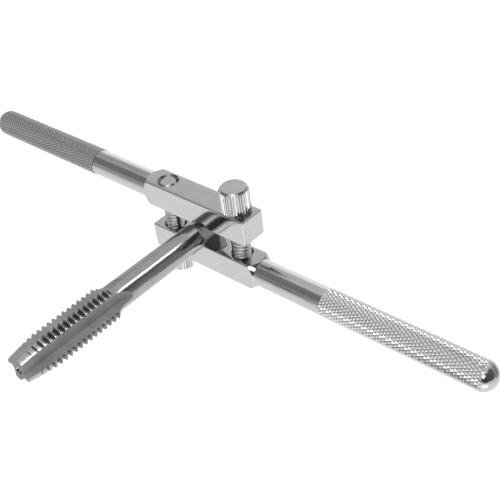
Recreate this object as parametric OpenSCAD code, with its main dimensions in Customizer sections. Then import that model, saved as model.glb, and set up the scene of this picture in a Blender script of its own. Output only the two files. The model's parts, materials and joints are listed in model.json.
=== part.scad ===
// Two-bar tap wrench holding a hand tap by its square.
//
// Two identical bars face each other across the tap. Each bar is one piece of square steel
// with its handle turned and knurled on one end. A thumb screw goes through a clearance hole
// near each bar's free end and threads into the other bar, so turning the two screws together
// opens and closes the jaws.
//
// Frame: origin on the tap's axis, halfway between the bars and halfway along their jaws.
// +X runs along the lower bar's handle, -Y along the tap towards its cutting end, +Z up
// through the upper bar.

/* [Jaw bars] */
// Side of the square bar stock
bar_side = 9.525; // [9:0.005:10]
// Open space between the two bars when they hold the tap
jaw_gap = 8.1; // [7.9:0.1:8.6]
// Distance from the tap's axis to a bar's free end
free_end_x = 22.1; // [21.5:0.1:24]
// Distance from the tap's axis to the turned shoulder at the handle
shoulder_x = 21.5; // [21:0.1:23]
// Break on the bar's sharp edges
edge_break = 0.3; // [0.1:0.05:0.5]

/* [Handles] */
// Diameter of the smooth neck
neck_d = 9.26; // [8.8:0.01:9.4]
// Diameter over the knurled grip
grip_d = 9.72; // [9.5:0.01:9.8]
// Distance from the tap's axis to the start of the knurl
grip_start_x = 49.8; // [40:0.1:60]
// Distance from the tap's axis to the tip of the handle
handle_tip_x = 108.7; // [95:0.1:120]

/* [Thumb screws] */
// Distance from the tap's axis to each screw's axis
screw_x = 15.4; // [14.5:0.1:16]
// Outside diameter of the screw thread
screw_d = 6.35; // [6:0.01:6.4]
// Pitch of the screw thread
screw_pitch = 1.27; // [1:0.01:1.5]
// Diameter over the knurled head
head_d = 9.8; // [9:0.1:10.5]
// Height of the head
head_h = 8.8; // [6:0.1:10]
// Number of straight knurls round the head
head_teeth = 32; // [24:1:40]
// Diameter of the clearance hole through a screw's own bar
clearance_d = 7.1; // [6.9:0.1:7.3]
// Diameter of the countersink at each end of a tapped hole
countersink_d = 7.7; // [7.3:0.1:8.2]

/* [Tap] */
// Outside diameter of the tap's thread
tap_d = 12.7; // [12:0.1:13]
// Pitch of the tap's thread
tap_pitch = 1.954; // [1.7:0.001:2]
// Diameter of the shank
shank_d = 9.3; // [9:0.05:9.5]
// Distance across the flats of the driving square
square_af = 6.99; // [6.9:0.01:7.05]
// Distance from the wrench's centre to the tap's cutting end
tap_tip_y = 80.4; // [75:0.1:90]
// Length of the thread, with its tapered lead
tap_thread_l = 35.4; // [30:0.1:42]
// Length of the tapered lead
tap_lead_l = 11; // [4:0.1:12]
// Diameter of the end face
tap_end_d = 9.2; // [8:0.1:10]
// Angle round the axis of the first of the four flutes
flute_angle = 22; // [0:1:90]

/* [Hidden] */

$fn = 96;
eps = 0.05;
steel = [0.80, 0.81, 0.83];
bright_steel = [0.88, 0.89, 0.90];
tool_steel = [0.62, 0.63, 0.65];

inner_z = jaw_gap / 2;
outer_z = inner_z + bar_side;
bar_z = inner_z + bar_side / 2;
half_side = bar_side / 2;
corner_r = half_side * sqrt(2);

// Slack left on each sliding face, so that parts touch without sharing space
running_slack = 0.05;
seat_slack = 0.03;
tapped_d = screw_d + 2 * running_slack;

// Virtual corner of the V that holds the square by its four flats
vee_tip_z = (square_af / 2 + seat_slack) * sqrt(2);

// Depth of a thread, and the flats on its crests and roots, as shares of its pitch
thread_ratio = 0.6;
thread_flat = 0.12;
screw_tip_recess = 0.15;
screw_tip_break = 0.6;
head_tooth_depth = 0.28;
head_foot_break = 0.45;
head_top_break = 0.8;
clearance_rim = 0.45;

square_front_y = 6.6;
square_rear_y = 4.5;
square_run_l = 1.8;
tap_neck_cone = 1.8;
tail_bevel_l = 0.6;
tail_bevel_r = 0.9;
flute_full_y = 44.2;
flute_lift = 25;
flute_run_out = 12;
center_hole_r = 1.35;

// Cross-section of a flute, as distance outward and across: a long floor, then the cutting face
flute_floor = 2.11;
flute_outline = [
    [7.00, 4.40], [5.65, 3.50], [4.75, 2.90], [3.82, 2.08], [2.99, 0.95], [2.43, -0.12],
    [2.11, -1.07], [2.19, -1.62], [2.62, -2.02], [3.55, -2.30], [7.20, -3.35]
];

// Square bar lying along X, centred on the X axis, with broken edges
module square_bar(x0, x1) {
    span = x1 - x0;
    mid = (x0 + x1) / 2;
    intersection() {
        translate([x0, 0, 0]) rotate([90, 0, 90]) linear_extrude(span)
            broken_rect(bar_side, bar_side);
        translate([mid, 0, -half_side]) linear_extrude(bar_side)
            broken_rect(span, bar_side);
        translate([mid, half_side, 0]) rotate([90, 0, 0]) linear_extrude(bar_side)
            broken_rect(span, bar_side);
    }
}

// Rectangle with its four corners cut off at 45 degrees
module broken_rect(w, h) {
    b = edge_break;
    polygon([
        [-w / 2 + b, -h / 2], [w / 2 - b, -h / 2], [w / 2, -h / 2 + b], [w / 2, h / 2 - b],
        [w / 2 - b, h / 2], [-w / 2 + b, h / 2], [-w / 2, h / 2 - b], [-w / 2, -h / 2 + b]
    ]);
}

// Upright hole from z0 to z1 with a 45 degree countersink at both ends
module countersunk_hole(d, sink_d, z0, z1) {
    sink = (sink_d - d) / 2;
    translate([0, 0, z0 - eps]) cylinder(h = z1 - z0 + 2 * eps, d = d);
    translate([0, 0, z1 - sink]) cylinder(h = sink, d1 = d, d2 = sink_d);
    translate([0, 0, z1]) cylinder(h = eps, d = sink_d);
    translate([0, 0, z0]) cylinder(h = sink, d1 = sink_d, d2 = d);
    translate([0, 0, z0 - eps]) cylinder(h = eps, d = sink_d);
}

// The turned end of a bar, from its 45 degree shoulder to the tip, along -X
module turned_handle() {
    neck_r = neck_d / 2;
    grip_r = grip_d / 2;
    cone_l = corner_r - neck_r;
    dome_x = handle_tip_x - grip_r;
    rotate([0, -90, 0]) {
        translate([0, 0, shoulder_x + cone_l - eps])
            cylinder(h = grip_start_x - shoulder_x - cone_l + eps, r = neck_r);
        translate([0, 0, grip_start_x]) cylinder(h = dome_x - grip_start_x, r = grip_r);
        translate([0, 0, dome_x]) sphere(r = grip_r);
    }
}

// Solid that leaves the jaw square and turns its handle end down to a cone
module shoulder_envelope() {
    cone_l = corner_r - neck_d / 2;
    rotate([0, -90, 0]) {
        translate([0, 0, -free_end_x - 1])
            cylinder(h = free_end_x + shoulder_x + 1, r = corner_r + 1);
        translate([0, 0, shoulder_x])
            cylinder(h = cone_l, r1 = corner_r, r2 = neck_d / 2);
    }
}

// V groove across the bar's inner face, open towards the other bar
module vee_groove() {
    reach = vee_tip_z - inner_z + 1;
    translate([0, half_side + 1, 0]) rotate([90, 0, 0]) linear_extrude(bar_side + 2)
        polygon([[0, vee_tip_z], [-reach, vee_tip_z - reach], [reach, vee_tip_z - reach]]);
}

// Upper bar: handle to -X, clearance hole at +X, tapped hole at -X
module jaw_bar() {
    color(steel) difference() {
        translate([0, 0, bar_z]) union() {
            intersection() {
                square_bar(-shoulder_x - corner_r + neck_d / 2, free_end_x);
                shoulder_envelope();
            }
            turned_handle();
        }
        vee_groove();
        translate([screw_x, 0, 0])
            countersunk_hole(clearance_d, clearance_d + 2 * clearance_rim, inner_z, outer_z);
        translate([-screw_x, 0, 0])
            countersunk_hole(tapped_d, countersink_d, inner_z, outer_z);
    }
}

// Outline of a straight knurl: a star with one point to each tooth
module knurl_outline(r, depth, teeth) {
    polygon([
        for (i = [0 : 2 * teeth - 1])
            let (a = i * 180 / teeth, q = i % 2 == 0 ? r : r - depth)
            [q * cos(a), q * sin(a)]
    ]);
}

// Axial section of a ridged thread from z = 0 to z = l, as radius and height
function thread_section(r, pitch, l) =
    let (root_r = r - thread_ratio * pitch)
    [
        [0, 0],
        [root_r, 0],
        for (i = [0 : floor(l / pitch) - 1]) each [
            [root_r, (i + thread_flat / 2) * pitch],
            [r, (i + 0.5 - thread_flat / 2) * pitch],
            [r, (i + 0.5 + thread_flat / 2) * pitch],
            [root_r, (i + 1 - thread_flat / 2) * pitch]
        ],
        [root_r, l],
        [0, l]
    ];

// Solid of revolution that bevels a turned piece at its foot and its top
module bevel_envelope(r, l, foot, top) {
    rotate_extrude() polygon([
        [0, 0], [r - foot, 0], [r + eps, foot + eps],
        [r + eps, l - top - eps], [r - top, l], [0, l]
    ]);
}

// Head of a thumb screw, standing on z = 0
module screw_head() {
    intersection() {
        linear_extrude(head_h) knurl_outline(head_d / 2, head_tooth_depth, head_teeth);
        bevel_envelope(head_d / 2, head_h, head_foot_break, head_top_break);
    }
}

// Threaded shank of a thumb screw, with its bevelled tip on z = 0
module screw_shank(l) {
    intersection() {
        rotate_extrude() polygon(thread_section(screw_d / 2, screw_pitch, l));
        bevel_envelope(screw_d / 2, l, screw_tip_break, -eps);
    }
}

// Screw standing on +Z: head on the upper bar, tip inside the lower bar
module thumb_screw() {
    shank_l = 2 * outer_z - screw_tip_recess;
    color(bright_steel) translate([screw_x, 0, outer_z]) {
        translate([0, 0, running_slack]) screw_head();
        translate([0, 0, -shank_l]) screw_shank(shank_l + 2 * eps);
    }
}

// One straight flute, which rises to the surface at the shank end
module flute() {
    rotate([90, 0, 0]) translate([0, 0, flute_full_y])
        linear_extrude(tap_tip_y - flute_full_y + 1) polygon(flute_outline);
    translate([flute_floor, -flute_full_y, 0]) rotate([90, 0, -flute_lift])
        translate([-flute_floor, 0, -flute_run_out])
            linear_extrude(flute_run_out + eps) polygon(flute_outline);
}

// Flat of the driving square, with the rounded shoulder that its cutter leaves
module square_flat() {
    drop = shank_d / 2 - square_af / 2;
    cutter_r = (square_run_l * square_run_l + drop * drop) / (2 * drop);
    translate([-shank_d, -square_front_y + square_run_l, square_af / 2])
        cube([2 * shank_d, square_rear_y + square_front_y, shank_d]);
    translate([-shank_d, -square_front_y + square_run_l, square_af / 2 + cutter_r])
        rotate([0, 90, 0]) cylinder(h = 2 * shank_d, r = cutter_r);
}

// Hand tap lying along -Y, its square turned so that its corners point up and down
module tap() {
    tip_r = tap_end_d / 2;
    crest_r = tap_d / 2;
    shank_r = shank_d / 2;
    thread_start = tap_tip_y - tap_thread_l;
    color(tool_steel) difference() {
        rotate([90, 0, 0]) union() {
            translate([0, 0, tail_bevel_l - square_rear_y])
                cylinder(h = thread_start + square_rear_y - tail_bevel_l + eps, r = shank_r);
            translate([0, 0, -square_rear_y])
                cylinder(h = tail_bevel_l, r1 = shank_r - tail_bevel_r, r2 = shank_r);
            translate([0, 0, thread_start - tap_neck_cone])
                cylinder(h = tap_neck_cone, r1 = shank_r, r2 = crest_r - thread_ratio * tap_pitch);
            intersection() {
                translate([0, 0, thread_start]) rotate_extrude()
                    polygon(thread_section(crest_r, tap_pitch, tap_thread_l));
                union() {
                    translate([0, 0, thread_start])
                        cylinder(h = tap_thread_l - tap_lead_l, r = crest_r);
                    translate([0, 0, tap_tip_y - tap_lead_l])
                        cylinder(h = tap_lead_l, r1 = crest_r, r2 = tip_r);
                }
            }
        }
        for (a = [0 : 90 : 270]) rotate([0, -flute_angle - a, 0]) flute();
        for (a = [45 : 90 : 315]) rotate([0, a, 0]) square_flat();
        translate([0, -tap_tip_y - eps, 0]) rotate([-90, 0, 0])
            cylinder(h = center_hole_r / tan(30), r1 = center_hole_r, r2 = 0);
    }
}

module upper_jaw_bar() { jaw_bar(); }
module lower_jaw_bar() { rotate([0, 180, 0]) jaw_bar(); }
module upper_thumb_screw() { thumb_screw(); }
module lower_thumb_screw() { rotate([0, 180, 0]) thumb_screw(); }

upper_jaw_bar();
lower_jaw_bar();
upper_thumb_screw();
lower_thumb_screw();
tap();
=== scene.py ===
"""Looks of a bar tap wrench that holds a hand tap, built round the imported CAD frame.

Shapes are worked out in millimetres in the CAD frame and turned into metres when a piece is made.
"""

import json
import math

import bmesh
import bpy
from mathutils import Matrix, Vector


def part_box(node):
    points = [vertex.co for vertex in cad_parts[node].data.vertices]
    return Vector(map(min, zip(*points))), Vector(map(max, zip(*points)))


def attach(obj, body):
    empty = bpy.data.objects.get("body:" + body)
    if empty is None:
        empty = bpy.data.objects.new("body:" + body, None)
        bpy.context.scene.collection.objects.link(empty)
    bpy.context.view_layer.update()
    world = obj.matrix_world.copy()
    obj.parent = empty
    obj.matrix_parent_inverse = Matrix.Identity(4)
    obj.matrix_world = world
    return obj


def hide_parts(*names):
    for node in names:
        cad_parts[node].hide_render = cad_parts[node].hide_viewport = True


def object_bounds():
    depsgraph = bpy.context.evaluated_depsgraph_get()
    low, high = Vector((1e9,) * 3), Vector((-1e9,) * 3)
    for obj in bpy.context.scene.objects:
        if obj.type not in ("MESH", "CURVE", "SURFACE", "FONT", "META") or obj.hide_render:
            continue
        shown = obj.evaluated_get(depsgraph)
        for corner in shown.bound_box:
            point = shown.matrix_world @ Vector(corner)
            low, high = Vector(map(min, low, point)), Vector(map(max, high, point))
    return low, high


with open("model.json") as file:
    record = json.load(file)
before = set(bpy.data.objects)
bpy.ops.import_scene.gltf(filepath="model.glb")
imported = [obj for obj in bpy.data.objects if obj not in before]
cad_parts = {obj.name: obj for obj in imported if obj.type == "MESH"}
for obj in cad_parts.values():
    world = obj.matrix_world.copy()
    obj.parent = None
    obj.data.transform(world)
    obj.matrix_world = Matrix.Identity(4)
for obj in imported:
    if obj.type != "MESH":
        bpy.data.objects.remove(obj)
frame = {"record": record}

CAD_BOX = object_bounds()
MM = 0.001


# ---------------------------------------------------------------- sizes, in millimetres

def mount(name):
    """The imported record's mount of that name."""
    return next(m for m in frame["record"]["mounts"] if m["name"] == name)


def joint(name):
    """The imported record's joint of that name."""
    return next(j for j in frame["record"]["behaviour"]["joints"] if j["name"] == name)


def box_mm(node):
    """Lowest and highest corner of a CAD node, in millimetres."""
    low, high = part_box(node)
    return low / MM, high / MM


BAR_LOW, BAR_HIGH = box_mm("lower_jaw_bar")
SCREW_LOW, SCREW_HIGH = box_mm("upper_thumb_screw")
TAP_LOW, TAP_HIGH = box_mm("tap")

HALF_SIDE = mount("upper_back_face")["pos_m"][1] / MM
BAR_Z = mount("upper_back_face")["pos_m"][2] / MM
INNER_Z = BAR_Z - HALF_SIDE
OUTER_Z = BAR_Z + HALF_SIDE
FREE_END_X = -BAR_LOW.x
HANDLE_TIP_X = BAR_HIGH.x
SHOULDER_X = 21.5
EDGE_R = 0.42
# Polishing drops a face by CROWN at its rim, and by CROWN_LEFT times that CROWN_WIDTH further in
CROWN = 0.07
CROWN_WIDTH = 2.2
CROWN_LEFT = 0.04
CROWN_FADE_POWER = 8
CROWN_MESH_REACH = 1.4

NECK_R = 4.63
GRIP_R = mount("right_grip")["dims"]["r_mm"]
GRIP_MID_X = mount("right_grip")["pos_m"][0] / MM
GRIP_LENGTH = mount("right_grip")["dims"]["length_mm"]
GRIP_START_X = GRIP_MID_X - GRIP_LENGTH / 2
GRIP_END_X = GRIP_MID_X + GRIP_LENGTH / 2
GRIP_BEVEL = 0.3
NECK_RINGS = 6
DOME_STEPS = 24
KNURL_AROUND = 26
KNURL_PITCH_X = 2.16
KNURL_DEPTH = 0.34
KNURL_FLAT = 0.24

SCREW_X = joint("upper_screw_turn")["pos_m"][0] / MM
SCREW_R = 3.175
SCREW_PITCH = 1.27
SCREW_TIP_BREAK = 0.6
HEAD_R = (SCREW_HIGH.x - SCREW_LOW.x) / 2
HEAD_BASE_Z = OUTER_Z + 0.05
HEAD_BEVEL = 0.8
HEAD_FOOT_BEVEL = 0.45
HEAD_TEETH = 32
HEAD_TOOTH_DEPTH = 0.32
# One tooth of the head, as (share of its pitch, share of its depth)
HEAD_TOOTH = ((-0.11, 0), (0.11, 0), (0.36, 1), (0.64, 1))
TAPPED_R = SCREW_R + 0.05
TAPPED_SINK = 0.62
CLEARANCE_R = 3.55
CLEARANCE_SINK = 0.45

TAP_R = TAP_HIGH.z
TAP_PITCH = 1.954
THREAD_DEPTH_RATIO = 0.6
THREAD_FLAT = 0.12
THREAD_END_PITCHES = 0.7
TAP_TIP_Y = -TAP_LOW.y
TAP_TAIL_Y = TAP_HIGH.y
TAP_THREAD_L = 35.4
TAP_LEAD_L = 11
TAP_END_R = 4.6
TAP_NECK_CONE = 1.8
SHANK_R = 4.65
SHANK_RINGS = 16
TAIL_BEVEL_R = 0.9
TAIL_BEVEL_L = 0.6
SQUARE_HALF = 3.495
SQUARE_FRONT_Y = 6.6
SQUARE_RUN = 1.8
SQUARE_RUN_STEPS = 12
SQUARE_RUN_PAST = 1.25
SEAT_SLACK = 0.03
FLUTE_ANGLE = 22
FLUTE_FULL_Y = 44.2
# The wheel that lifts a flute out of the shank, and the part of its turn that is used, in degrees
FLUTE_WHEEL_R = 7.5
FLUTE_WHEEL_TURN = 72
FLUTE_WHEEL_STEPS = 12
# Cross-section of a flute: a round floor, a small fillet and a flat cutting face
FLUTE_FLOOR_R = 7.5
FLUTE_FLOOR_OUT = 9.35
FLUTE_FLOOR_ACROSS = -3.0
FLUTE_FLOOR_START = 110
FLUTE_FLOOR_STEPS = 24
FLUTE_FILLET_R = 0.7
FLUTE_FILLET_STEPS = 8
FLUTE_FACE_TILT = 16
FLUTE_FACE_OFFSET = -1.23
CENTER_HOLE_R = 1.45
CENTER_HOLE_SLOPE = 30
# Extra radius of the centre hole's cutter 1 mm outside the end face
CENTER_HOLE_FLARE = 0.58

# Steps round each turned shape
BAR_STEPS = 160
HOLE_STEPS = 96
HEAD_STEPS = 96
SCREW_STEPS = 72
TAP_THREAD_STEPS = 96
LEAD_STEPS = 128
SHANK_STEPS = 192
CENTER_STEPS = 48

# Welding of what the cuts leave, and the angles in degrees over which an edge stays sharp
WELD_DISTANCE = 0.002
SLIVER_LENGTH = 0.001
SHARP_ANGLE = 32
SCREW_SHARP_ANGLE = 24


# ---------------------------------------------------------------- mesh helpers

def piece(name, bm, materials):
    """Turns a bmesh in millimetres into an object in metres."""
    bmesh.ops.recalc_face_normals(bm, faces=bm.faces)
    mesh = bpy.data.meshes.new(name)
    bm.to_mesh(mesh)
    bm.free()
    mesh.transform(Matrix.Scale(MM, 4))
    obj = bpy.data.objects.new(name, mesh)
    for material in materials:
        mesh.materials.append(material)
    bpy.context.scene.collection.objects.link(obj)
    return obj


def boolean(target, tool, operation):
    """Cuts, joins or intersects target with tool, which is used up."""
    modifier = target.modifiers.new("bool", "BOOLEAN")
    modifier.operation = operation
    modifier.solver = "EXACT"
    modifier.material_mode = "TRANSFER"
    modifier.object = tool
    bpy.context.view_layer.update()
    shape = bpy.data.meshes.new_from_object(
        target.evaluated_get(bpy.context.evaluated_depsgraph_get()))
    old = target.data
    target.modifiers.clear()
    target.data = shape
    bpy.data.meshes.remove(old)
    bpy.data.objects.remove(tool)


def finish_mesh(obj, angle=SHARP_ANGLE):
    """Welds what the cuts left and shades smooth with sharp edges over angle."""
    bm = bmesh.new()
    bm.from_mesh(obj.data)
    bmesh.ops.remove_doubles(bm, verts=bm.verts, dist=WELD_DISTANCE * MM)
    bmesh.ops.dissolve_degenerate(bm, dist=SLIVER_LENGTH * MM, edges=bm.edges)
    bm.to_mesh(obj.data)
    bm.free()
    obj.data.shade_smooth()
    obj.data.set_sharp_from_angle(angle=math.radians(angle))
    return obj


def lathe(profile, steps):
    """Closed solid of revolution about Z. The profile is (radius, height) points, from axis to axis."""
    bm = bmesh.new()
    rings = []
    for r, z in profile:
        if r == 0:
            rings.append([bm.verts.new((0, 0, z))])
        else:
            rings.append([
                bm.verts.new((r * math.cos(a), r * math.sin(a), z))
                for a in (2 * math.pi * i / steps for i in range(steps))
            ])
    for low, high in zip(rings, rings[1:]):
        for i in range(steps):
            j = (i + 1) % steps
            if len(low) == 1:
                bm.faces.new((low[0], high[j], high[i]))
            elif len(high) == 1:
                bm.faces.new((low[i], low[j], high[0]))
            else:
                bm.faces.new((low[i], low[j], high[j], high[i]))
    return bm


def stretch(r, z0, z1, parts):
    """Profile points that split a long cylinder into short rings, so it shades evenly."""
    return [(r, z0 + (z1 - z0) * i / parts) for i in range(parts + 1)]


def prism(outline, z0, z1):
    """Closed prism of an (x, y) outline, from z0 to z1."""
    bm = bmesh.new()
    low = [bm.verts.new((x, y, z0)) for x, y in outline]
    high = [bm.verts.new((x, y, z1)) for x, y in outline]
    bm.faces.new(list(reversed(low)))
    bm.faces.new(high)
    for i in range(len(outline)):
        j = (i + 1) % len(outline)
        bm.faces.new((low[i], low[j], high[j], high[i]))
    return bm


def cap_between(bm, z0, z1):
    """Cuts an open tube-like mesh square at z0 and z1 and closes both ends."""
    for z, normal in ((z0, -1), (z1, 1)):
        geom = list(bm.verts) + list(bm.edges) + list(bm.faces)
        bmesh.ops.bisect_plane(
            bm, geom=geom, plane_co=(0, 0, z), plane_no=(0, 0, normal), clear_outer=True)
    rims = [e for e in bm.edges if e.is_boundary]
    bmesh.ops.holes_fill(bm, edges=rims, sides=0)
    return bm


def threaded_rod(major_r, root_r, pitch, z0, z1, steps):
    """Closed rod along Z with a right-hand helical thread. Crests take material 0, the rest material 1."""
    flat = THREAD_FLAT / 2
    section = [
        (0, root_r), (flat, root_r), (0.5 - flat, major_r), (0.5 + flat, major_r), (1 - flat, root_r)]
    crest = 2
    turns = math.ceil((z1 - z0) / pitch) + 3
    start = z0 - 2 * pitch
    bm = bmesh.new()
    rows = []
    for j in range(steps * (turns + 1) + 1):
        a = 2 * math.pi * j / steps
        rows.append([
            bm.verts.new((r * math.cos(a), r * math.sin(a), start + pitch * (j / steps + s)))
            for s, r in section
        ])
    last = len(section) - 1
    for j in range(steps * turns):
        for i in range(last):
            face = bm.faces.new((rows[j][i], rows[j + 1][i], rows[j + 1][i + 1], rows[j][i + 1]))
            face.material_index = 0 if i == crest else 1
        face = bm.faces.new(
            (rows[j][last], rows[j + 1][last], rows[j + steps + 1][0], rows[j + steps][0]))
        face.material_index = 1
    loose = [v for v in bm.verts if not v.link_faces]
    bmesh.ops.delete(bm, geom=loose, context="VERTS")
    return cap_between(bm, z0, z1)


def knurled_rod(x0, x1):
    """Closed rod along Z with a diamond knurl: truncated pyramids between two sets of helical grooves."""
    bm = bmesh.new()
    step = KNURL_PITCH_X / 2
    valley = GRIP_R - KNURL_DEPTH
    n = KNURL_AROUND
    rows = math.ceil((x1 - x0) / step) + 4
    start = x0 - 2 * step

    def point(r, turn, row):
        a = 2 * math.pi * turn / n
        return Vector((r * math.cos(a), r * math.sin(a), start + row * step))

    corners = [
        [bm.verts.new(point(valley, m + (k % 2) / 2, k)) for m in range(n)]
        for k in range(rows + 1)
    ]
    for k in range(1, rows):
        for m in range(n):
            turn = m + (k % 2) / 2 + 0.5
            after = (m + 1) % n
            beside = after if k % 2 else m
            ring = [corners[k][m], corners[k + 1][beside], corners[k][after], corners[k - 1][beside]]
            top = [
                bm.verts.new(point(GRIP_R, turn - KNURL_FLAT / 2, k)),
                bm.verts.new(point(GRIP_R, turn, k + KNURL_FLAT)),
                bm.verts.new(point(GRIP_R, turn + KNURL_FLAT / 2, k)),
                bm.verts.new(point(GRIP_R, turn, k - KNURL_FLAT)),
            ]
            bm.faces.new(top)
            for i in range(4):
                j = (i + 1) % 4
                bm.faces.new((ring[i], ring[j], top[j], top[i]))
    return cap_between(bm, x0, x1)


def polished_block(x0, x1, half, edge_r, crown, width):
    """Square block along X, its edges rolled over and its faces slightly crowned by polishing."""
    mid = Vector(((x0 + x1) / 2, 0, 0))
    size = Vector(((x1 - x0) / 2, half, half))

    def stations(reach):
        """Places of the mesh lines along one axis: close together on the rolled edge and the crown."""
        edge = [reach - edge_r * share for share in (0, 0.25, 0.5, 0.75, 1.0)]
        crowned = width * CROWN_MESH_REACH - edge_r
        edge += [reach - edge_r - crowned * share for share in (0.15, 0.3, 0.5, 0.75, 1.0)]
        positive = sorted(edge)
        middle = [-reach / 3, reach / 3] if reach > 2 * half else [0.0]
        return [-v for v in reversed(positive)] + middle + positive

    lines = [stations(s) for s in size]
    powers = [math.log(CROWN_LEFT) / math.log(1 - width / s) for s in size]
    bm = bmesh.new()
    seen = {}

    def vertex(p):
        key = tuple(round(c, 5) for c in p)
        if key not in seen:
            inner = Vector([max(-s + edge_r, min(s - edge_r, c)) for s, c in zip(size, p)])
            out = p - inner
            rounded = inner + (out.normalized() * edge_r if out.length > 0 else out)
            shares = [abs(c) / s for s, c in zip(size, rounded)]
            rolls = [share ** power for share, power in zip(shares, powers)]
            moved = Vector([
                c - math.copysign(crown * shares[i] ** CROWN_FADE_POWER, c) * (sum(rolls) - rolls[i])
                for i, c in enumerate(rounded)
            ])
            seen[key] = bm.verts.new(moved + mid)
        return seen[key]

    for axis in range(3):
        u_axis, v_axis = [i for i in range(3) if i != axis]
        for side in (-1, 1):
            for u0, u1 in zip(lines[u_axis], lines[u_axis][1:]):
                for v0, v1 in zip(lines[v_axis], lines[v_axis][1:]):
                    quad = []
                    for u, v in ((u0, v0), (u1, v0), (u1, v1), (u0, v1)):
                        p = Vector((0, 0, 0))
                        p[axis] = side * size[axis]
                        p[u_axis] = u
                        p[v_axis] = v
                        quad.append(vertex(p))
                    if len(set(quad)) == 4:
                        bm.faces.new(quad)
    return bm


# ---------------------------------------------------------------- materials

def shader(name, colour, roughness, metallic=1.0):
    """New Principled material: returns it with its node tree and shader node."""
    material = bpy.data.materials.new(name)
    material.use_nodes = True
    tree = material.node_tree
    bsdf = tree.nodes["Principled BSDF"]
    bsdf.inputs["Base Color"].default_value = (*colour, 1)
    bsdf.inputs["Roughness"].default_value = roughness
    bsdf.inputs["Metallic"].default_value = metallic
    return material, tree, bsdf


def noise(tree, scale, detail, axes):
    """Noise over the piece's own coordinates, in metres. An axes value under 1 draws it out into lines."""
    where = tree.nodes.new("ShaderNodeTexCoord")
    mapping = tree.nodes.new("ShaderNodeMapping")
    mapping.inputs["Scale"].default_value = axes
    texture = tree.nodes.new("ShaderNodeTexNoise")
    texture.inputs["Scale"].default_value = scale
    texture.inputs["Detail"].default_value = detail
    tree.links.new(where.outputs["Object"], mapping.inputs["Vector"])
    tree.links.new(mapping.outputs["Vector"], texture.inputs["Vector"])
    return texture.outputs["Fac"]


def ramp(tree, source, low, high, start=0.3, end=0.7):
    """Maps a texture value to a range of grey or numbers."""
    node = tree.nodes.new("ShaderNodeMapRange")
    node.inputs["From Min"].default_value = start
    node.inputs["From Max"].default_value = end
    node.inputs["To Min"].default_value = low
    node.inputs["To Max"].default_value = high
    tree.links.new(source, node.inputs["Value"])
    return node.outputs["Result"]


def grey(tree, bsdf, source, low, high):
    """Colour that wanders between two greys."""
    mix = tree.nodes.new("ShaderNodeMix")
    mix.data_type = "RGBA"
    mix.inputs["A"].default_value = (low, low, low, 1)
    mix.inputs["B"].default_value = (high, high, high, 1)
    tree.links.new(ramp(tree, source, 0, 1), mix.inputs["Factor"])
    tree.links.new(mix.outputs["Result"], bsdf.inputs["Base Color"])


def bump(tree, bsdf, heights):
    """Chains bumps: each is (texture value, height in metres)."""
    normal = None
    for source, height in heights:
        node = tree.nodes.new("ShaderNodeBump")
        node.inputs["Distance"].default_value = height
        tree.links.new(source, node.inputs["Height"])
        if normal is not None:
            tree.links.new(normal, node.inputs["Normal"])
        normal = node.outputs["Normal"]
    tree.links.new(normal, bsdf.inputs["Normal"])


def groove_shade_depth(tree, axis, centre, bottom_r, top_r):
    """Mask for painted shade: 0 at the bottom of a turned shape's grooves and 1 on its crests, for both
    halves of the tool.
    """
    where = tree.nodes.new("ShaderNodeTexCoord")
    fold = tree.nodes.new("ShaderNodeVectorMath")
    fold.operation = "ABSOLUTE"
    tree.links.new(where.outputs["Object"], fold.inputs[0])
    shift = tree.nodes.new("ShaderNodeMapping")
    shift.inputs["Scale"].default_value = [0 if i == axis else 1 for i in range(3)]
    shift.inputs["Location"].default_value = [-c * MM for c in centre]
    tree.links.new(fold.outputs["Vector"], shift.inputs["Vector"])
    length = tree.nodes.new("ShaderNodeVectorMath")
    length.operation = "LENGTH"
    tree.links.new(shift.outputs["Vector"], length.inputs[0])
    return ramp(tree, length.outputs["Value"], 0, 1, bottom_r * MM, top_r * MM)


def times(tree, a, b):
    """Product of two texture values."""
    node = tree.nodes.new("ShaderNodeMath")
    node.operation = "MULTIPLY"
    tree.links.new(a, node.inputs[0])
    tree.links.new(b, node.inputs[1])
    return node.outputs[0]


# Noise textures, each (scale, detail, share of the scale along X, Y and Z)
PLATE_CLOUD = (160, 4, (1, 1, 1))
PLATE_LINES = (900, 4, (0.05, 1, 1))
PLATE_SWELL = (90, 1, (1, 1, 1))
STEEL_CLOUD = (220, 4, (1, 1, 1))
STEEL_LINES = (1500, 4)
FLOOR_CLOUD = (3, 2, (1, 1, 1))
# Range that the cloud keeps on crests, near the bright end of the tone
CREST_CLOUD = (0.62, 0.70)


def plated(name, tone, rough, grain, wave, groove_shade=None):
    """Bright plate over polished steel: fine polishing lines along X, and soft waviness.

    tone and rough are (low, high), grain and wave are heights in metres, and groove, when given, paints
    shade into the hollows.
    """
    material, tree, bsdf = shader(name, (tone[1],) * 3, rough[0])
    cloud = noise(tree, *PLATE_CLOUD)
    if groove_shade:
        # Painted shade: the tone falls towards the bottom of the grooves, and the cloud stays near the
        # bright end on the crests.
        cloud = times(tree, ramp(tree, cloud, *CREST_CLOUD), groove_shade_depth(tree, *groove_shade))
    lines = noise(tree, *PLATE_LINES)
    swell = noise(tree, *PLATE_SWELL)
    grey(tree, bsdf, cloud, *tone)
    tree.links.new(ramp(tree, lines, *rough), bsdf.inputs["Roughness"])
    bump(tree, bsdf, ((swell, wave), (lines, grain)))
    return material


def ground(name, tone, rough, grain, axes, metallic=1.0):
    """Ground tool steel: tone and rough are (low, high), grain is the lines' height in metres."""
    material, tree, bsdf = shader(name, (tone[1],) * 3, rough[0], metallic)
    cloud = noise(tree, *STEEL_CLOUD)
    lines = noise(tree, *STEEL_LINES, axes)
    grey(tree, bsdf, cloud, *tone)
    tree.links.new(ramp(tree, lines, *rough), bsdf.inputs["Roughness"])
    bump(tree, bsdf, ((lines, grain),))
    return material


MICRON = 0.000001
ALONG_X = 0
ALONG_Z = 2
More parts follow.
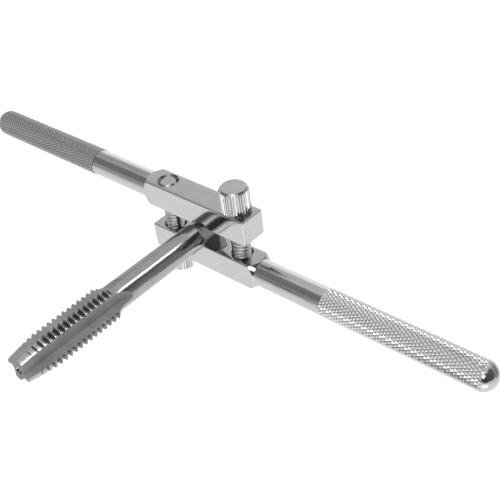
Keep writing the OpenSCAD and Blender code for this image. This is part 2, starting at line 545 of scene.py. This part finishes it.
# Painted shade in the grooves, each (axis, a point on it, radius where the shade is darkest, radius where
# it ends)
GROOVE_UNDER = 0.05
GROOVE_OVER = 0.20
KNURL_VALLEY_R = GRIP_R - KNURL_DEPTH
TOOTH_VALLEY_R = HEAD_R - HEAD_TOOTH_DEPTH
KNURL_GROOVE_SHADE = (
    ALONG_X, (0, 0, BAR_Z), KNURL_VALLEY_R - GROOVE_UNDER, KNURL_VALLEY_R + GROOVE_OVER)
HEAD_GROOVE_SHADE = (
    ALONG_Z, (SCREW_X, 0, 0), TOOTH_VALLEY_R - GROOVE_UNDER, TOOTH_VALLEY_R + GROOVE_OVER)
THREAD_GROOVE_SHADE = (
    ALONG_Z, (SCREW_X, 0, 0), SCREW_R - THREAD_DEPTH_RATIO * SCREW_PITCH, SCREW_R - GROOVE_OVER)

PLATE = plated("bright_plate", (0.60, 0.64), (0.08, 0.14), 1.2 * MICRON, 20 * MICRON)
# The knurl plate in two copies of one finish: this brighter one is painted light on the lower bar's grip,
# the darker, rougher one painted shade on the upper bar's; both paint shade into the knurl's grooves.
LIT_KNURL_PLATE = plated(
    "lit_knurl_plate", (0.74, 1.0), (0.10, 0.18), 2 * MICRON, 10 * MICRON, KNURL_GROOVE_SHADE)
SHADED_DULL_KNURL_PLATE = plated(
    "shaded_dull_knurl_plate", (0.38, 0.54), (0.26, 0.36), 2 * MICRON, 10 * MICRON, KNURL_GROOVE_SHADE)
# Painted shade: the head's tooth valleys and the screw's thread roots turn darker towards their bottom.
HEAD_PLATE = plated(
    "head_plate", (0.44, 0.82), (0.10, 0.18), 2 * MICRON, 10 * MICRON, HEAD_GROOVE_SHADE)
SCREW_PLATE = plated(
    "screw_plate", (0.26, 0.76), (0.12, 0.20), 2 * MICRON, 10 * MICRON, THREAD_GROOVE_SHADE)
FACE_PLATE = plated("face_plate", (0.60, 0.66), (0.10, 0.18), 2 * MICRON, 10 * MICRON)
HOLE_PLATE = plated("hole_plate", (0.28, 0.38), (0.12, 0.22), 2 * MICRON, 10 * MICRON)
SHANK_STEEL = ground("ground_shank", (0.42, 0.47), (0.10, 0.18), MICRON, (1, 0.08, 1))
FLUTE_STEEL = ground(
    "satin_flute", (0.28, 0.38), (0.70, 0.85), 4 * MICRON, (1, 0.15, 1), metallic=0.1)
THREAD_STEEL = ground("ground_thread", (0.45, 0.52), (0.16, 0.26), MICRON, (1, 1, 1))
# Painted shade: the tap's thread flanks are a much darker copy of the ground thread steel.
SHADED_FLANK_STEEL = ground("shaded_thread_flank", (0.16, 0.22), (0.20, 0.30), MICRON, (1, 1, 1))
# Painted shade: the square's flats and the centre hole are darker than the shank, standing in for the
# shade in the gap between the bars and in the hole.
SHADED_SQUARE_STEEL = ground("shaded_milled_square", (0.28, 0.36), (0.08, 0.16), 2 * MICRON, (1, 0.15, 1))


# ---------------------------------------------------------------- pieces

def jaw_bar():
    """The upper bar: one piece of square steel with its handle turned and knurled towards -X."""
    cone = HALF_SIDE * math.sqrt(2) - NECK_R
    corner_r = HALF_SIDE * math.sqrt(2)
    neck_x = SHOULDER_X + cone
    block = piece("block", polished_block(
        -neck_x - 1, FREE_END_X, HALF_SIDE, EDGE_R, CROWN, CROWN_WIDTH), [PLATE])
    turned = lathe([
        (0, -FREE_END_X - 2), (corner_r + 2, -FREE_END_X - 2), (corner_r + 2, SHOULDER_X - 2),
        (corner_r, SHOULDER_X), (NECK_R, neck_x), (NECK_R - 0.4, neck_x + 0.4),
        (0, neck_x + 0.4)], BAR_STEPS)
    flip = Matrix.Rotation(math.radians(-90), 4, "Y")
    turned.transform(flip)
    boolean(block, piece("turned", turned, [PLATE]), "INTERSECT")
    neck = lathe([
        (0, SHOULDER_X - 3), (NECK_R, SHOULDER_X - 3),
        *stretch(NECK_R, neck_x + 0.5, GRIP_START_X - 0.3, NECK_RINGS),
        (NECK_R, GRIP_START_X + GRIP_BEVEL / 3), (NECK_R - 0.4, GRIP_START_X + 1),
        (0, GRIP_START_X + 1)], BAR_STEPS)
    neck.transform(flip)
    boolean(block, piece("neck", neck, [PLATE]), "UNION")

    grip = piece("grip", knurled_rod(GRIP_START_X - 1, HANDLE_TIP_X + 1), [LIT_KNURL_PLATE])
    dome_points = [
        (GRIP_R * math.cos(a), GRIP_END_X + GRIP_R * math.sin(a))
        for a in (math.radians(90 * i / DOME_STEPS) for i in range(1, DOME_STEPS))
    ]
    envelope = lathe([
        (0, GRIP_START_X), (NECK_R - 0.1, GRIP_START_X),
        (GRIP_R + 0.02, GRIP_START_X + GRIP_R + 0.12 - NECK_R), (GRIP_R + 0.02, GRIP_END_X),
        *dome_points, (0, HANDLE_TIP_X)], BAR_STEPS)
    boolean(grip, piece("envelope", envelope, [PLATE]), "INTERSECT")
    grip.data.transform(flip)
    boolean(block, grip, "UNION")

    block.data.transform(Matrix.Translation((0, 0, BAR_Z * MM)))
    tip = (SQUARE_HALF + SEAT_SLACK) * math.sqrt(2)
    reach = tip - INNER_Z + 1
    vee = prism([(0, tip), (-reach, tip - reach), (reach, tip - reach)], -HALF_SIDE - 1, HALF_SIDE + 1)
    vee.transform(Matrix.Rotation(math.radians(90), 4, "X"))
    boolean(block, piece("vee", vee, [PLATE]), "DIFFERENCE")
    for x, r, sink in ((SCREW_X, CLEARANCE_R, CLEARANCE_SINK), (-SCREW_X, TAPPED_R, TAPPED_SINK)):
        hole = lathe([
            (0, INNER_Z - 1), (r + sink + 1, INNER_Z - 1), (r, INNER_Z + sink),
            (r, OUTER_Z - sink), (r + sink + 1, OUTER_Z + 1), (0, OUTER_Z + 1)], HOLE_STEPS)
        hole.transform(Matrix.Translation((x, 0, 0)))
        boolean(block, piece("hole", hole, [HOLE_PLATE]), "DIFFERENCE")
    return finish_mesh(block)


def knurl_outline():
    """Outline of the straight-knurled head: teeth with small flat crests."""
    points = []
    for i in range(HEAD_TEETH):
        for share, depth in HEAD_TOOTH:
            a = 2 * math.pi * (i + share) / HEAD_TEETH
            r = HEAD_R - HEAD_TOOTH_DEPTH * depth
            points.append((r * math.cos(a), r * math.sin(a)))
    return points


def thumb_screw():
    """The upper screw, its head on the upper bar and its tip in the lower one."""
    top = SCREW_HIGH.z
    head = piece("head", prism(knurl_outline(), HEAD_BASE_Z - 1, top + 1), [HEAD_PLATE])
    r = HEAD_R
    envelope = lathe([
        (0, HEAD_BASE_Z), (r - HEAD_FOOT_BEVEL, HEAD_BASE_Z),
        (r + 0.05, HEAD_BASE_Z + HEAD_FOOT_BEVEL + 0.05), (r + 0.05, top - HEAD_BEVEL - 0.05),
        (r - HEAD_BEVEL, top), (0, top)], HEAD_STEPS)
    boolean(head, piece("envelope", envelope, [FACE_PLATE]), "INTERSECT")
    rod = piece("rod", threaded_rod(
        SCREW_R, SCREW_R - THREAD_DEPTH_RATIO * SCREW_PITCH, SCREW_PITCH,
        SCREW_LOW.z, HEAD_BASE_Z + 0.5, SCREW_STEPS), [SCREW_PLATE, SCREW_PLATE])
    tip = lathe([
        (0, SCREW_LOW.z), (SCREW_R - SCREW_TIP_BREAK, SCREW_LOW.z),
        (SCREW_R + 0.1, SCREW_LOW.z + SCREW_TIP_BREAK + 0.1), (SCREW_R + 0.1, HEAD_BASE_Z + 1),
        (0, HEAD_BASE_Z + 1)], SCREW_STEPS)
    boolean(rod, piece("tip", tip, [FACE_PLATE]), "INTERSECT")
    boolean(head, rod, "UNION")
    head.data.transform(Matrix.Translation((SCREW_X * MM, 0, 0)))
    return finish_mesh(head, SCREW_SHARP_ANGLE)


def arc_2d(centre, r, start, end, steps):
    """Points of an arc, with its angles in radians."""
    angles = [start + (end - start) * i / steps for i in range(steps + 1)]
    return [(centre.x + r * math.cos(a), centre.y + r * math.sin(a)) for a in angles]


def flute_outline():
    """Cross-section of a flute, as (outward, across) points from the floor's outer end to the face's."""
    tilt = math.radians(FLUTE_FACE_TILT)
    along = Vector((math.cos(tilt), -math.sin(tilt)))
    off = Vector((math.sin(tilt), math.cos(tilt)))
    floor_centre = Vector((FLUTE_FLOOR_OUT, FLUTE_FLOOR_ACROSS))
    rise = FLUTE_FACE_OFFSET + FLUTE_FILLET_R
    run = math.sqrt((FLUTE_FLOOR_R - FLUTE_FILLET_R) ** 2 - (floor_centre.dot(off) - rise) ** 2)
    fillet_centre = along * (floor_centre.dot(along) - run) + off * rise
    inward = fillet_centre - floor_centre
    meet = math.atan2(inward.y, inward.x)
    start = math.radians(FLUTE_FLOOR_START)
    floor_arc = arc_2d(floor_centre, FLUTE_FLOOR_R, start, meet, FLUTE_FLOOR_STEPS)
    fillet = arc_2d(
        fillet_centre, FLUTE_FILLET_R, meet, math.radians(270) - tilt, FLUTE_FILLET_STEPS)
    face_end = along * (TAP_R + 2) + off * FLUTE_FACE_OFFSET
    return floor_arc + fillet[1:] + [tuple(face_end)]


def flute_cutter():
    """Form cutter that runs along the tap and lifts out of the shank on an arc."""
    outline = flute_outline()
    centre = min(out for out, _ in outline) + FLUTE_WHEEL_R
    rings = [[(out, -TAP_TIP_Y - 2, across) for out, across in outline]]
    for i in range(FLUTE_WHEEL_STEPS + 1):
        a = math.radians(FLUTE_WHEEL_TURN * i / FLUTE_WHEEL_STEPS)
        rings.append([
            (centre - (centre - out) * math.cos(a), (centre - out) * math.sin(a) - FLUTE_FULL_Y, across)
            for out, across in outline
        ])
    bm = bmesh.new()
    rings = [[bm.verts.new(p) for p in ring] for ring in rings]
    for low, high in zip(rings, rings[1:]):
        for i in range(len(outline)):
            j = (i + 1) % len(outline)
            bm.faces.new((low[i], low[j], high[j], high[i]))
    bm.faces.new(rings[0])
    bm.faces.new(rings[-1])
    return bm


def square_cutter():
    """Prism that mills one flat of the square, with the round shoulder at its front."""
    drop = SHANK_R - SQUARE_HALF
    cutter_r = (SQUARE_RUN ** 2 + drop ** 2) / (2 * drop)
    sweep = math.asin(SQUARE_RUN / cutter_r)
    arc = [
        (-SQUARE_FRONT_Y + SQUARE_RUN - cutter_r * math.sin(a),
         SQUARE_HALF + cutter_r * (1 - math.cos(a)))
        for a in (sweep * SQUARE_RUN_PAST * i / SQUARE_RUN_STEPS for i in range(SQUARE_RUN_STEPS, -1, -1))
    ]
    outline = arc + [
        (TAP_TAIL_Y + 1, SQUARE_HALF), (TAP_TAIL_Y + 1, SHANK_R + 3), (arc[0][0], SHANK_R + 3)]
    bm = prism(outline, -SHANK_R - 1, SHANK_R + 1)
    bm.transform(Matrix(((0, 0, 1, 0), (1, 0, 0, 0), (0, 1, 0, 0), (0, 0, 0, 1))))
    return bm


def hand_tap():
    """The tap: fluted thread, ground shank and driving square."""
    root_r = TAP_R - THREAD_DEPTH_RATIO * TAP_PITCH
    thread_y = TAP_TIP_Y - TAP_THREAD_L
    along = Matrix.Rotation(math.radians(90), 4, "X")
    # The thread's crests take the ground thread steel and its flanks the darker copy, painted shade.
    thread = piece("tap_thread", threaded_rod(
        TAP_R, root_r, TAP_PITCH, thread_y, TAP_TIP_Y, TAP_THREAD_STEPS),
        [THREAD_STEEL, SHADED_FLANK_STEEL])
    envelope = lathe([
        (0, thread_y - 1), (root_r - 0.4, thread_y - 1),
        (TAP_R + 0.1, thread_y + TAP_PITCH * THREAD_END_PITCHES),
        (TAP_R + 0.1, TAP_TIP_Y - TAP_LEAD_L), (TAP_END_R, TAP_TIP_Y),
        (0, TAP_TIP_Y)], LEAD_STEPS)
    boolean(thread, piece("lead", envelope, [THREAD_STEEL]), "INTERSECT")
    shank = piece("shank", lathe([
        (0, -TAP_TAIL_Y), (SHANK_R - TAIL_BEVEL_R, -TAP_TAIL_Y), (SHANK_R, TAIL_BEVEL_L - TAP_TAIL_Y),
        *stretch(SHANK_R, SQUARE_FRONT_Y + 0.5, thread_y - TAP_NECK_CONE, SHANK_RINGS),
        (root_r - 0.02, thread_y + 0.1), (SHANK_R - 1, thread_y + 2),
        (0, thread_y + 2)], SHANK_STEPS), [SHANK_STEEL])
    boolean(shank, thread, "UNION")
    shank.data.transform(along)
    for turn in (0, 90, 180, 270):
        cutter = flute_cutter()
        cutter.transform(Matrix.Rotation(math.radians(-FLUTE_ANGLE - turn), 4, "Y"))
        boolean(shank, piece("flute", cutter, [FLUTE_STEEL]), "DIFFERENCE")
    for turn in (45, 135, 225, 315):
        cutter = square_cutter()
        cutter.transform(Matrix.Rotation(math.radians(turn), 4, "Y"))
        boolean(shank, piece("flat", cutter, [SHADED_SQUARE_STEEL]), "DIFFERENCE")
    centre = lathe([
        (0, TAP_TIP_Y + 1), (CENTER_HOLE_R + CENTER_HOLE_FLARE, TAP_TIP_Y + 1),
        (0, TAP_TIP_Y - CENTER_HOLE_R / math.tan(math.radians(CENTER_HOLE_SLOPE)))], CENTER_STEPS)
    centre.transform(along)
    boolean(shank, piece("centre", centre, [SHADED_SQUARE_STEEL]), "DIFFERENCE")
    return finish_mesh(shank)


def place(obj, name, body, node):
    """Names a finished piece and ties it to the frame."""
    obj.name = name
    obj.data.name = name
    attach(obj, body)
    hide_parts(node)


def half_turn(obj):
    """A copy of a piece, turned half a turn about the tap's axis."""
    twin = obj.copy()
    twin.data = obj.data.copy()
    twin.data.transform(Matrix.Rotation(math.radians(180), 4, "Y"))
    bpy.context.scene.collection.objects.link(twin)
    return twin


upper_bar = jaw_bar()
lower_bar = half_turn(upper_bar)
# The upper bar's grip swaps to the darker copy of the knurl plate: painted shade.
upper_slots = upper_bar.data.materials
upper_slots[upper_slots.find(LIT_KNURL_PLATE.name)] = SHADED_DULL_KNURL_PLATE
upper_screw = thumb_screw()
lower_screw = half_turn(upper_screw)
place(upper_bar, "upper_bar", "upper_jaw", "upper_jaw_bar")
place(lower_bar, "lower_bar", "lower_jaw", "lower_jaw_bar")
place(upper_screw, "upper_screw", "upper_screw", "upper_thumb_screw")
place(lower_screw, "lower_screw", "lower_screw", "lower_thumb_screw")
tap = hand_tap()
place(tap, "hand_tap", "held_tap", "tap")


# ---------------------------------------------------------------- studio

def direction(azimuth, elevation):
    """Unit vector towards a place in the studio: azimuth 0 is -Y and 90 is +X, in degrees."""
    a, e = math.radians(azimuth), math.radians(elevation)
    return Vector((math.sin(a) * math.cos(e), -math.cos(a) * math.cos(e), math.sin(e)))


# Panels round the object, each (azimuth, elevation, inner radius, outer radius, brightness)
PANELS = (
    (-90, 80, 20, 45, 0.70),
    (27, 64, 8, 18, 1.60),
    (-146, 2, 22, 34, 1.10),
    (-106, 42, 8, 20, 0.42),
    (-48, 34, 16, 34, 0.22),
    (-38, 5, 6, 18, 0.40),
    (138, 8, 20, 34, 0.30),
    (45, -38, 10, 20, 1.8),
    (2, 25, 8, 20, 0.90),
    (48, 20, 24, 36, 0.06),
    (86, 24, 24, 34, 0.10),
    (112, 42, 12, 22, 0.14),
)
# Softboxes, each (name, its two ends and its width in millimetres, energy, pieces that it lights)
SOFTBOXES = (
    ("shank_strip", ((137, -50, 380), (174, 193, 287)), 70, 0.26, [tap]),
    ("front_strip", ((137, 50, 380), (174, -193, 287)), 90, 0.20, [tap]),
    ("handle_card", ((150, -95, 42), (150, -55, 62)), 40, 0.014, [lower_bar]),
)
FLOOR_HALF_SIZE = 4000
FLOOR_GAP = 0.2
FLOOR_TONE = (0.78, 0.80)
FLOOR_GLOW = 0.72
# The camera, in millimetres and degrees
CAMERA_LENS = 65.09
CAMERA_SENSOR = 36
CAMERA_AIM = (13.65, 5.44, -7.43)
CAMERA_AZIMUTH = 45.19
CAMERA_ELEVATION = 38.21
CAMERA_ROLL = 7.553
CAMERA_DISTANCE = 304.54
CAMERA_NEAR = 10
# Brightness of the tent between the panels, each (elevation, brightness)
HORIZON = ((-90, 1.0), (-25, 0.95), (-10, 0.70), (5, 0.50), (30, 0.62), (60, 0.66), (90, 0.70))


def studio_world():
    """A soft tent: its brightness depends on direction alone, and the camera sees it white."""
    world = bpy.data.worlds.new("studio")
    bpy.context.scene.world = world
    world.use_nodes = True
    tree = world.node_tree
    tree.nodes.clear()
    links = tree.links
    where = tree.nodes.new("ShaderNodeTexCoord").outputs["Generated"]

    height = tree.nodes.new("ShaderNodeSeparateXYZ")
    links.new(where, height.inputs["Vector"])
    curve = tree.nodes.new("ShaderNodeValToRGB")
    stops = curve.color_ramp.elements
    for i, (elevation, value) in enumerate(HORIZON):
        position = 0.5 + 0.5 * math.sin(math.radians(elevation))
        stop = stops[i] if i < 2 else stops.new(position)
        stop.position = position
        stop.color = (value, value, value, 1)
    half = tree.nodes.new("ShaderNodeMath")
    half.operation = "MULTIPLY_ADD"
    half.inputs[1].default_value = 0.5
    half.inputs[2].default_value = 0.5
    links.new(height.outputs["Z"], half.inputs[0])
    links.new(half.outputs[0], curve.inputs["Fac"])
    light = curve.outputs["Color"]

    for azimuth, elevation, inner, outer, value in PANELS:
        dot = tree.nodes.new("ShaderNodeVectorMath")
        dot.operation = "DOT_PRODUCT"
        dot.inputs[1].default_value = direction(azimuth, elevation)
        links.new(where, dot.inputs[0])
        edge = tree.nodes.new("ShaderNodeMapRange")
        edge.interpolation_type = "SMOOTHSTEP"
        edge.inputs["From Min"].default_value = math.cos(math.radians(outer))
        edge.inputs["From Max"].default_value = math.cos(math.radians(inner))
        links.new(dot.outputs["Value"], edge.inputs["Value"])
        mix = tree.nodes.new("ShaderNodeMix")
        mix.data_type = "RGBA"
        mix.inputs["B"].default_value = (value, value, value, 1)
        links.new(edge.outputs["Result"], mix.inputs["Factor"])
        links.new(light, mix.inputs["A"])
        light = mix.outputs["Result"]

    ray = tree.nodes.new("ShaderNodeLightPath")
    seen = tree.nodes.new("ShaderNodeMix")
    seen.data_type = "RGBA"
    seen.inputs["B"].default_value = (1, 1, 1, 1)
    links.new(ray.outputs["Is Camera Ray"], seen.inputs["Factor"])
    links.new(light, seen.inputs["A"])
    background = tree.nodes.new("ShaderNodeBackground")
    links.new(seen.outputs["Result"], background.inputs["Color"])
    output = tree.nodes.new("ShaderNodeOutputWorld")
    links.new(background.outputs["Background"], output.inputs["Surface"])


def floor():
    """Plain pale floor just under the lower screw's head when the jaws are wide open."""
    material, tree, bsdf = shader("floor_white", (0.8, 0.8, 0.8), 0.9, 0.0)
    grey(tree, bsdf, noise(tree, *FLOOR_CLOUD), *FLOOR_TONE)
    bsdf.inputs["Specular IOR Level"].default_value = 0.0
    bsdf.inputs["Emission Color"].default_value = (1, 1, 1, 1)
    bsdf.inputs["Emission Strength"].default_value = FLOOR_GLOW
    bm = bmesh.new()
    bmesh.ops.create_grid(bm, x_segments=1, y_segments=1, size=FLOOR_HALF_SIZE)
    obj = piece("floor", bm, [material])
    obj.location.z = CAD_BOX[0].z - joint("jaw_slide")["range_m"][1] - FLOOR_GAP * MM
    obj.visible_glossy = False


def softbox(name, ends, width, energy, lit):
    """Long softbox between two points, turned towards the tool. It lights only the pieces given."""
    lamp = bpy.data.lights.new(name, "AREA")
    lamp.shape = "RECTANGLE"
    near, far = (Vector(end) * MM for end in ends)
    lamp.size = (far - near).length
    lamp.size_y = width * MM
    lamp.energy = energy
    obj = bpy.data.objects.new(name, lamp)
    middle = (near + far) / 2
    along = (far - near).normalized()
    back = (middle - along * middle.dot(along)).normalized()
    turn = Matrix((along, back.cross(along), back)).transposed()
    obj.matrix_world = Matrix.Translation(middle) @ turn.to_4x4()
    bpy.context.scene.collection.objects.link(obj)
    receivers = bpy.data.collections.new(name)
    for piece_lit in lit:
        receivers.objects.link(piece_lit)
    obj.light_linking.receiver_collection = receivers


def camera():
    """Camera at the viewing angle of the reference, with its slight roll."""
    data = bpy.data.cameras.new("camera")
    data.sensor_width = CAMERA_SENSOR
    data.lens = CAMERA_LENS
    obj = bpy.data.objects.new("camera", data)
    aim = Vector(CAMERA_AIM) * MM
    back = direction(CAMERA_AZIMUTH, CAMERA_ELEVATION)
    right = (-back).cross(Vector((0, 0, 1))).normalized()
    up = right.cross(-back)
    roll = math.radians(CAMERA_ROLL)
    x = right * math.cos(roll) - up * math.sin(roll)
    y = right * math.sin(roll) + up * math.cos(roll)
    turn = Matrix((x, y, back)).transposed()
    obj.matrix_world = Matrix.Translation(aim + back * CAMERA_DISTANCE * MM) @ turn.to_4x4()
    data.clip_start = CAMERA_NEAR * MM
    bpy.context.scene.collection.objects.link(obj)
    bpy.context.scene.camera = obj


studio_world()
floor()
for box in SOFTBOXES:
    softbox(*box)
camera()
bpy.context.scene.view_settings.view_transform = "Standard"
